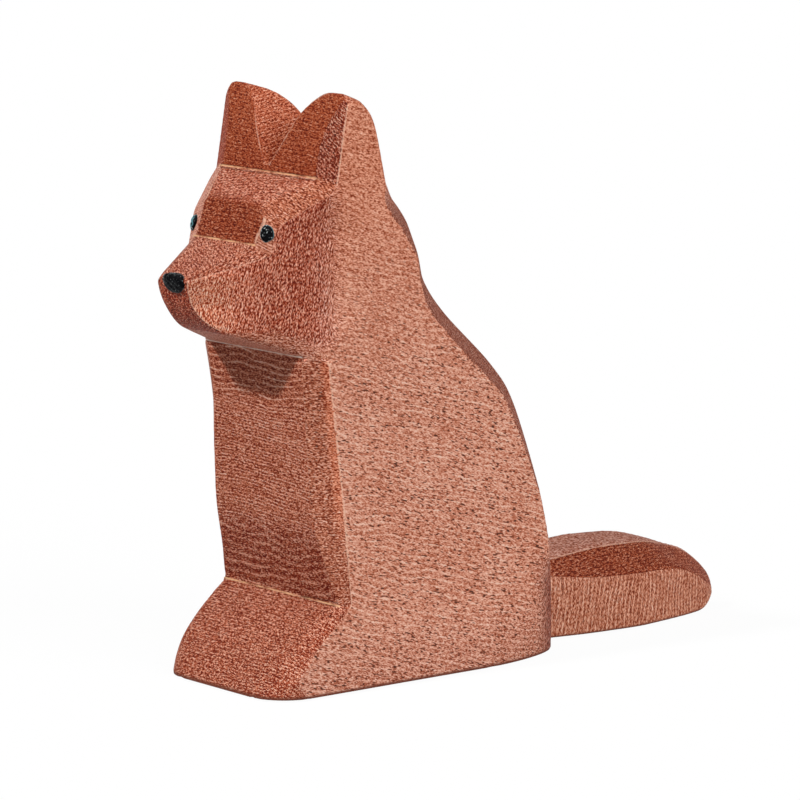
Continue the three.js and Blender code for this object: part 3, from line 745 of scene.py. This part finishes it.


# Oiled, hand-cut wood, for the body and the tail: short flecks and fine lines drawn out along the tool
# marks, rows of scores at an even pitch, dark pores, a slow drift of tone, pale edges rubbed by handling
# and a pale thread in the creases. Painted light: a whiter thread in the chin crease as a painted
# highlight, a painted shade line beside the creases and a painted shadow along the foot.
oiled = bpy.data.node_groups.new("oiled_wood", "ShaderNodeTree")
oiled_inputs = {"Tone": "Color", "Stroke": "Vector", "Across": "Vector", "Marks": "Color", "Scores": "Float",
                "WearAndShade": "Color", "ChinThreadHighlight": "Float"}
for name, kind in oiled_inputs.items():
    oiled.interface.new_socket(name, in_out="INPUT", socket_type="NodeSocket" + kind)
for name, kind in (("Color", "Color"), ("Roughness", "Float"), ("Normal", "Vector")):
    oiled.interface.new_socket(name, in_out="OUTPUT", socket_type="NodeSocket" + kind)
given = node(oiled, "NodeGroupInput").outputs
strength = node(oiled, "SeparateColor", {0: given["Marks"]}).outputs
wear_and_shade_channels = node(oiled, "SeparateColor", {0: given["WearAndShade"]}).outputs
flat_place = node(oiled, "VectorMath", {0: node(oiled, "TexCoord").outputs["Object"], "Scale": 1 / mm},
                  operation="SCALE").outputs[0]
spot = node(oiled, "SeparateXYZ", {0: flat_place}).outputs
bend_from = 15.0
bend_rate = 0.0016
stroke_bend = calc(oiled, "POWER", calc(oiled, "ADD", spot[0], bend_from), 2.0)
bent = node(oiled, "CombineXYZ", {2: calc(oiled, "MULTIPLY", stroke_bend, bend_rate)}).outputs[0]
place = node(oiled, "VectorMath", {0: flat_place, 1: bent}, operation="ADD").outputs[0]


def measured(direction):
    """Length of the place along a direction."""
    return node(oiled, "VectorMath", {0: place, 1: direction}, operation="DOT_PRODUCT").outputs["Value"]


def drawn_out(share):
    """Place with a share of its length along the tool marks taken away, so that noise on it is stretched."""
    back = calc(oiled, "MULTIPLY", measured(given["Stroke"]), -share)
    feeds = {0: given["Stroke"], 1: back, 2: place}
    return node(oiled, "VectorMath", feeds, operation="MULTIPLY_ADD").outputs[0]


def add_marks(total, noise, amount, gain):
    """Adds the noise about its mean, times an amount and a gain, to the shade so far."""
    lift = calc(oiled, "MULTIPLY", calc(oiled, "SUBTRACT", noise, 0.5), gain)
    return calc(oiled, "MULTIPLY_ADD", lift, amount, total)


def toned(red, green, blue):
    """The tone with each of its colours multiplied."""
    feeds = {0: given["Tone"], 1: (red, green, blue)}
    return node(oiled, "VectorMath", feeds, operation="MULTIPLY").outputs[0]


palest = (0.74, 0.62, 0.55)
worn_tone = (0.74, 0.43, 0.31, 1)
tan_thread = (0.75, 0.43, 0.23, 1)
# Colour of the chin's thread, a painted highlight
painted_highlight_thread = (0.95, 0.82, 0.72, 1)
# Colour of the painted shade line beside the creases
crease_shade_tone = (0.05, 0.014, 0.008, 1)
pore_tone = (0.035, 0.012, 0.008, 1)
# Colour of the painted shadow along the foot
contact_shadow_tone = (0.12, 0.03, 0.016, 1)
bare_gamma = 0.36
mark_depth = 0.014 * mm
flecks = speckle(oiled, drawn_out(0.6), 5.6, 1, 0.5)
lines = speckle(oiled, drawn_out(0.7), 8.8, 1, 0.5)
breaks = speckle(oiled, drawn_out(0.4), 3.0, 1, 0.5)
lengths = speckle(oiled, drawn_out(0.95), 2.4, 1, 0.5)
dashes = speckle(oiled, drawn_out(0.72), 5.4, 0, 0)
patches = speckle(oiled, place, 0.35, 2, 0.5)
drift = speckle(oiled, place, 0.07, 1, 0.5)
rows = calc(oiled, "MULTIPLY_ADD", drift, 5.0, measured(given["Across"]))
wave = calc(oiled, "SINE", calc(oiled, "MULTIPLY", rows, 2 * np.pi))
crests = calc(oiled, "POWER", calc(oiled, "MULTIPLY_ADD", wave, 0.5, 0.5), 8.0)
ticks = calc(oiled, "MULTIPLY_ADD", wave, ramp(oiled, breaks, 0.35, 0.6, 0.0, 0.5), 0.5)
scores = calc(oiled, "MULTIPLY_ADD", calc(oiled, "SUBTRACT", crests, 0.2),
              ramp(oiled, lengths, 0.35, 0.6, 0.1, 1.0), 0.5)
shade = add_marks(0.5, flecks, strength[1], 3.7)
shade = add_marks(shade, lines, strength[0], 3.6)
shade = add_marks(shade, ticks, strength[0], 0.45)
shade = add_marks(shade, scores, given["Scores"], 0.6)
shade = add_marks(shade, lengths, given["Scores"], 0.6)
shade = add_marks(shade, patches, 0.13, 1.0)
shade = calc(oiled, "MINIMUM", calc(oiled, "MAXIMUM", add_marks(shade, drift, 0.2, 1.0), 0.0), 1.8)
dents = calc(oiled, "MULTIPLY", ramp(oiled, dashes, 0.56, 0.68), strength[2])
pitted = calc(oiled, "MULTIPLY_ADD", strength[2], 0.06, calc(oiled, "SUBTRACT", dashes, 0.06))
pores = calc(oiled, "MULTIPLY", ramp(oiled, pitted, 0.69, 0.76), strength[2], clamp=True)
toasted = even(oiled, shade, 0.5, 0.3)
burnt = even(oiled, shade, 0.3, 0.0)
paler = even(oiled, shade, 0.5, 0.9)
bleached = even(oiled, shade, 0.9, 1.8)
color = blend(oiled, toasted, given["Tone"], toned(0.76, 0.53, 0.42))
color = blend(oiled, burnt, color, toned(0.28, 0.09, 0.045))
color = blend(oiled, paler, color, toned(1.38, 1.8, 2.05))
bare = node(oiled, "Gamma", {"Color": given["Tone"], "Gamma": bare_gamma}).outputs[0]
color = blend(oiled, bleached, color, bare)
color = node(oiled, "VectorMath", {0: color, 1: palest}, operation="MINIMUM").outputs[0]
color = blend(oiled, calc(oiled, "MULTIPLY", dents, 0.8), color, toned(0.52, 0.3, 0.22))
edge = calc(oiled, "MULTIPLY", ramp(oiled, wear_and_shade_channels[0], 0.55, 0.9), ramp(oiled, breaks, 0.35, 0.6, 0.3, 0.85))
color = blend(oiled, edge, color, worn_tone)
thread = ramp(oiled, calc(oiled, "MULTIPLY_ADD", given["ChinThreadHighlight"], -0.04, wear_and_shade_channels[1]), 0.82, 0.95)
thread = calc(oiled, "MULTIPLY", thread, ramp(oiled, patches, 0.35, 0.6, 0.2, 0.95))
# The chin's thread takes a whiter colour, a painted highlight.
thread_color = blend(oiled, given["ChinThreadHighlight"], tan_thread, painted_highlight_thread)
color = blend(oiled, thread, color, thread_color)
# Painted shade: a dark line in the band a little way off the creases.
crease_shade_line = calc(oiled, "MULTIPLY", ramp(oiled, wear_and_shade_channels[2], 0.45, 0.6), ramp(oiled, wear_and_shade_channels[2], 0.8, 0.66))
color = blend(oiled, calc(oiled, "MULTIPLY", crease_shade_line, 0.6), color, crease_shade_tone)
color = blend(oiled, calc(oiled, "MULTIPLY", pores, 0.85), color, pore_tone)
# Painted shadow: the colour darkens over the lowest 0.75 mm above the table, a contact shadow along the foot.
foot = ramp(oiled, spot[2], 0.75, 0.3, 0.0, 0.9)
color = blend(oiled, foot, color, contact_shadow_tone)
height = calc(oiled, "MULTIPLY_ADD", pores, -0.8, shade)
rough = calc(oiled, "MULTIPLY_ADD", shade, -0.15, 0.72)
relief = node(oiled, "Bump", {"Strength": 1.0, "Distance": mark_depth, "Height": height})
node(oiled, "NodeGroupOutput", {"Color": color, "Roughness": rough, "Normal": relief.outputs[0]})


def carried(tree, name):
    """Outputs of the finish value that a piece carries under a name."""
    return node(tree, "Attribute", attribute_name=name).outputs


def bare_finish(name):
    """New material before its finish is worked out: the material, its nodes and its surface shader."""
    made = bpy.data.materials.new(name)
    made.use_nodes = True
    return made, made.node_tree, made.node_tree.nodes["Principled BSDF"]


def oiled_wood(name):
    """Material of a carved piece: the oiled wood effect, fed by the finish that the piece carries."""
    material, tree, shader = bare_finish(name)
    shader.inputs["Specular IOR Level"].default_value = 0.12
    marks = carried(tree, "marks")
    wear_and_shade = carried(tree, "wear_and_shade")
    feeds = {
        "Tone": carried(tree, "tone")["Color"],
        "Stroke": carried(tree, "stroke")["Vector"],
        "Across": carried(tree, "across")["Vector"],
        "Marks": marks["Color"],
        "Scores": marks["Alpha"],
        "WearAndShade": wear_and_shade["Color"],
        "ChinThreadHighlight": wear_and_shade["Alpha"],
    }
    effect = node(tree, "Group", node_tree=oiled)
    for key, value in feeds.items():
        tree.links.new(value, effect.inputs[key])
    for key, socket in (("Color", "Base Color"), ("Roughness", "Roughness"), ("Normal", "Normal")):
        tree.links.new(effect.outputs[key], shader.inputs[socket])
    return material


body.data.materials.append(oiled_wood("oiled_board"))
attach(body, "root")
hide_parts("body")

# Tail: a second, narrower block of the same wood, rounded to a brush with two long bevels on top,
# sawn to lie along the rump, and glued and pegged to it.
tail_end = 97.8
glue_line = 0.06
tail_lift = 2.4
tail_lift_from = 92
tail_lift_lean = 0.8
# Set-back from the foot of the rump, half-width and height of the upright side, half-width and
# height of the ridge above the bevel, and height of the crown
tail_rows = sweep((-4, 3.2, 10.6, 2.6, 12.4, 14.2), (4, 4.7, 9.9, 3.5, 12.4, 14.7),
                  (12, 6.1, 9, 3.9, 13.2, 15), (20, 6.7, 8.7, 3.5, 13.2, 14.5),
                  (26, 6.1, 8.5, 2.3, 12.6, 13.1), (31, 5.2, 7.8, 0.8, 11.3, 11.5),
                  (35, 4.2, 6.2, 0.7, 9.9, 10.1), (38.5, 2.9, 4.4, 0.6, 7.6, 7.8),
                  (41.2, 1.3, 2.8, 0.4, 5, 5.2))


def tail_cuts(x, y, z):
    """Cuts of the tail: upright sides, a bevel and a roof on each side whose lines in the cross-section
    change along the tail, a flat base, a seat along the rump, a round end and the hole of the peg."""
    ax = np.abs(x)
    back = y - rump_foot[0]
    half, side, ridge_half, ridge, crown = (np.interp(back, tail_rows[:, 0], row) for row in tail_rows.T[1:])
    bevel = (ax - half) * (ridge - side) + (z - side) * (half - ridge_half)
    roof = (ax - ridge_half) * (crown - ridge) + (z - ridge) * ridge_half
    along, off = from_peg_seat(y, z)
    wander = 0.05 * np.sin(0.5 * y) * np.sin(0.7 * x + 0.4 * z)
    return [
        (0, [("side", ax - half + wander)]),
        (0.7, [("bevel", bevel / np.hypot(ridge - side, half - ridge_half) + wander)]),
        (0.9, [("roof", roof / np.hypot(crown - ridge, ridge_half) + wander)]),
        (0.8, [("end", y - tail_end)]),
        (0.5, [("base", -z)]),
        (0.6, [("base", (tail_lift * rise(y, tail_lift_from, tail_end) ** 2 - z) * tail_lift_lean)]),
        (0.2, [("seat", glue_line - along)]),
        (0, [("bore", peg_hole_half - np.hypot(x, off)), ("bore", peg_hole_deep - along)]),
    ]


tail_finish = {
    "side": ((0.485, 0.178, 0.101), (0.05, 0.12, 1), (0.8, 0.5, 0.6, 0.9), 0.8),
    "bevel": ((0.249, 0.042, 0.013), (0, 1, 0.1), (1.1, 0.9, 0.4, 0.1), 0.6),
    "roof": ((0.461, 0.198, 0.138), (0.2, 0.95, 0), (0.2, 0.7, 0.4, 0.1), 0.6),
    "end": ((0.36, 0.12, 0.07), (1, 0, 0), (0.3, 0.9, 0.6, 0.2), 0.6),
    "base": ((0.42, 0.17, 0.11), (0, 1, 0), (0.5, 0.9, 0.6, 0.2), 0.6),
    "seat": ((0.42, 0.17, 0.11), (1, 0, 0), (0.5, 0.9, 0.6, 0.2), 0.6),
    "bore": ((0.42, 0.17, 0.11), (0, 1, 0), (0.5, 0.9, 0.6, 0.2), 0.6),
}
tail_low = (-7.6, 49.5, -0.6)
tail_high = (7.6, 99, 16)
tail_cell = 0.4
tail_points, tail_faces = skin(carved(tail_cuts), tail_low, tail_high, tail_cell)
tail_points, tail_near = to_edges(tail_cuts, tail_points, tail_faces)
tail = lay_carved("dog_tail", tail_cuts, tail_points, tail_faces, tail_near)
tail_parts = shares(tail_cuts(*tail_points.T))
tail_edge = 0.6
ridge_edge = 0.95
ridge_level = tail_edge + (ridge_edge - tail_edge) * meeting(tail_parts, "roof", "bevel")
tail_worn = np.outer(tail_near * ridge_level, (1, 0, 0, 0))
dress(tail, tail_points, tail_faces, lambda points: shares(tail_cuts(*points.T)), tail_finish, (), tail_worn)
tail.data.materials.append(oiled_wood("oiled_tail"))
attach(tail, "root")
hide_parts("tail")

# Peg: a plain turned dowel of pale wood with chamfered ends,
# glued half in the rump and half in the tail.
peg_half = 2.5
peg_length = 20
peg_chamfer = 0.4
peg_sides = 32


def round_skin(rows):
    """Closed skin over a stack of rings whose first and last rings are drawn together to a point."""
    count = rows.shape[1]
    points = np.vstack([rows[0, :1], rows[1:-1].reshape(-1, 3), rows[-1, :1]])
    ring = np.arange(count)
    after = (ring + 1) % count
    start = 1 + count * np.arange(len(rows) - 3)[:, None]
    bands = np.stack([start + ring, start + after, start + count + after, start + count + ring], -1)
    last = len(points) - 1
    first_cap = np.stack([0 * ring, 1 + after, 1 + ring], 1)
    last_cap = np.stack([0 * ring + last, last - count + ring, last - count + after], 1)
    return points, [*first_cap.tolist(), *bands.reshape(-1, 4).tolist(), *last_cap.tolist()]


peg_turn = np.linspace(0, 2 * np.pi, peg_sides, endpoint=False)
peg_radius = np.array([0, 0.8, 0.92, 1, 1, 0.92, 0.8, 0])[:, None] * peg_half
peg_stand = np.array([-1, -1, -1, -1, 1, 1, 1, 1])[:, None] * peg_length / 2
peg_stand = peg_stand + np.array([0, 0, 0.3, 1, -1, -0.3, 0, 0])[:, None] * peg_chamfer
peg_across = -peg_radius * np.cos(peg_turn)
peg_rise = peg_radius * np.sin(peg_turn)
peg_rows = np.stack([peg_across, peg_seat[0] + peg_stand * np.cos(rump_lean) - peg_rise * np.sin(rump_lean),
                     peg_seat[1] + peg_stand * np.sin(rump_lean) + peg_rise * np.cos(rump_lean)], -1)
peg = lay_skin("tail_peg", *round_skin(peg_rows))
peg_wood, tree, shader = bare_finish("pale_dowel")
peg_place = node(tree, "TexCoord").outputs["Object"]
grain_place = node(tree, "Mapping", {"Vector": peg_place, "Scale": (1, 0.06, 1)})
grain = speckle(tree, grain_place.outputs[0], 1500, 3, 0.6)
late_wood = (0.55, 0.33, 0.17, 1)
early_wood = (0.78, 0.55, 0.33, 1)
grain_color = blend(tree, ramp(tree, grain, 0.3, 0.7), late_wood, early_wood)
tree.links.new(grain_color, shader.inputs["Base Color"])
tree.links.new(ramp(tree, grain, 0.3, 0.7, 0.75, 0.6), shader.inputs["Roughness"])
grain_relief = node(tree, "Bump", {"Strength": 0.6, "Distance": 0.04 * mm, "Height": grain})
tree.links.new(grain_relief.outputs[0], shader.inputs["Normal"])
peg.data.materials.append(peg_wood)
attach(peg, "root")
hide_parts("tail_dowel")

# Eyes: two round dabs of thick black paint, put on with the point of a brush on the facets beside the
# brow, so that they dry a little lumpy and shine.
eye_spread = 2.2
eye_tall = 2.46
eye_thick = 0.4
eye_out = 2.05
eye_up = 1.65
dab_gap = 0.02
dab_turns = 48
dab_rings_over = 14
dab_rings_under = 7


def dab(centre, facing, wide, tall, thick, lumps):
    """Paint dab as rings over the wood: at radius r from 0 to 1 it lies on the carved face and stands
    thick * sqrt(1 - r^4) above it, with a slow ripple, and it returns along the wood underneath."""
    facing = np.array(facing) / np.linalg.norm(facing)
    across = np.cross((0, 0, 1), facing)
    across = across / np.linalg.norm(across)
    upward = np.cross(facing, across)
    turn = np.linspace(0, 2 * np.pi, dab_turns, endpoint=False)
    out = np.concatenate([np.linspace(0, 1, dab_rings_over), np.linspace(1, 0, dab_rings_under)[1:]])[:, None]
    over = np.arange(len(out))[:, None] < dab_rings_over
    wobble = 1 + 0.04 * np.sin(3 * turn + lumps) + 0.03 * np.sin(5 * turn + 2 * lumps)
    u = out * wide / 2 * np.cos(turn) * wobble
    v = out * tall / 2 * np.sin(turn) * wobble
    flat = np.array(centre) + u[..., None] * across + v[..., None] * upward
    points = flat.reshape(-1, 3)
    for _ in range(4):
        points = settle(carved(body_cuts), points, wide)
    normal = slope(carved(body_cuts), points)
    normal = normal / np.linalg.norm(normal, axis=1)[:, None]
    ripple = 1 + 0.14 * np.sin(4.5 * u + lumps) * np.sin(5 * v + 1.3 * lumps)
    stand = dab_gap + np.where(over, thick * np.sqrt(np.maximum(1 - out ** 4, 0)) * ripple, 0)
    return (points + stand.reshape(-1, 1) * normal).reshape(*flat.shape)


paint_black = (0.002, 0.002, 0.003, 1)
# Colour of the painted sheen where the paint is seen edge on
painted_sheen_blue = (0.08, 0.26, 0.3, 1)
# Colour of the pale specks painted in as glints
glint_grey = (0.55, 0.6, 0.6, 1)


def black_paint(name, sheen_low, sheen_high, glint_share):
    """Thick black paint, a painted bluish sheen where seen edge on, pale specks painted as glints."""
    coat, tree, shader = bare_finish(name)
    place = node(tree, "TexCoord").outputs["Object"]
    lump = speckle(tree, place, 2600, 2, 0.6)
    # Painted highlights: pale specks that stand in for glints.
    painted_glints = ramp(tree, speckle(tree, place, 3600, 1, 0.5), 0.64, 0.7, 0.0, glint_share)
    # Painted sheen: the colour turns bluish where the paint is seen edge on.
    painted_sheen = node(tree, "LayerWeight", {"Blend": 0.35}).outputs["Facing"]
    color = blend(tree, ramp(tree, painted_sheen, sheen_low, sheen_high), paint_black, painted_sheen_blue)
    color = blend(tree, painted_glints, color, glint_grey)
    tree.links.new(color, shader.inputs["Base Color"])
    shader.inputs["Specular IOR Level"].default_value = 0.03
    tree.links.new(ramp(tree, lump, 0.3, 0.7, 0.2, 0.4), shader.inputs["Roughness"])
    relief = node(tree, "Bump", {"Strength": 1.0, "Distance": 0.12 * mm, "Height": lump})
    tree.links.new(relief.outputs[0], shader.inputs["Normal"])
    return coat


eye_paint = black_paint("eye_paint", 0.38, 0.6, 1.0)
eye_facing = np.cross((np.cos(eye_turn), np.sin(eye_turn), 0), (0, brow[0] - stop[0], brow[1] - stop[1]))
for side, name in ((1, "left_eye"), (-1, "right_eye")):
    drop = (eye_out * eye_facing[0] + eye_up * eye_facing[2]) / eye_facing[1]
    eye_place = (side * (brow_half + eye_out), stop[0] - drop, stop[1] + eye_up)
    eye_front = (side * eye_facing[0], *eye_facing[1:])
    eye_rows = dab(eye_place, eye_front, eye_spread, eye_tall, eye_thick, 1.0 + side)
    eye = lay_skin(name, *round_skin(eye_rows))
    eye.data.materials.append(eye_paint)
    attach(eye, "root")
    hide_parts("eye_left" if side > 0 else "eye_right")

# Nose: a thicker dab of the same paint, put on with a full brush over the front edge of the muzzle,
# so that it wraps round the edge and dries to a lump.
nose_wide = 5
nose_tall = 4.1
nose_thick = 0.5
nose_drop = 0.75
nose_facing = (0, -0.9, 0.42)
nose_lumps = 0.7
nose_place = (0, nose_tip[0], nose_tip[1] - nose_drop)
nose_rows = dab(nose_place, nose_facing, nose_wide, nose_tall, nose_thick, nose_lumps)
nose = lay_skin("nose_dab", *round_skin(nose_rows))
nose.data.materials.append(black_paint("nose_paint", 0.62, 0.9, 0.2))
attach(nose, "root")
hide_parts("nose")
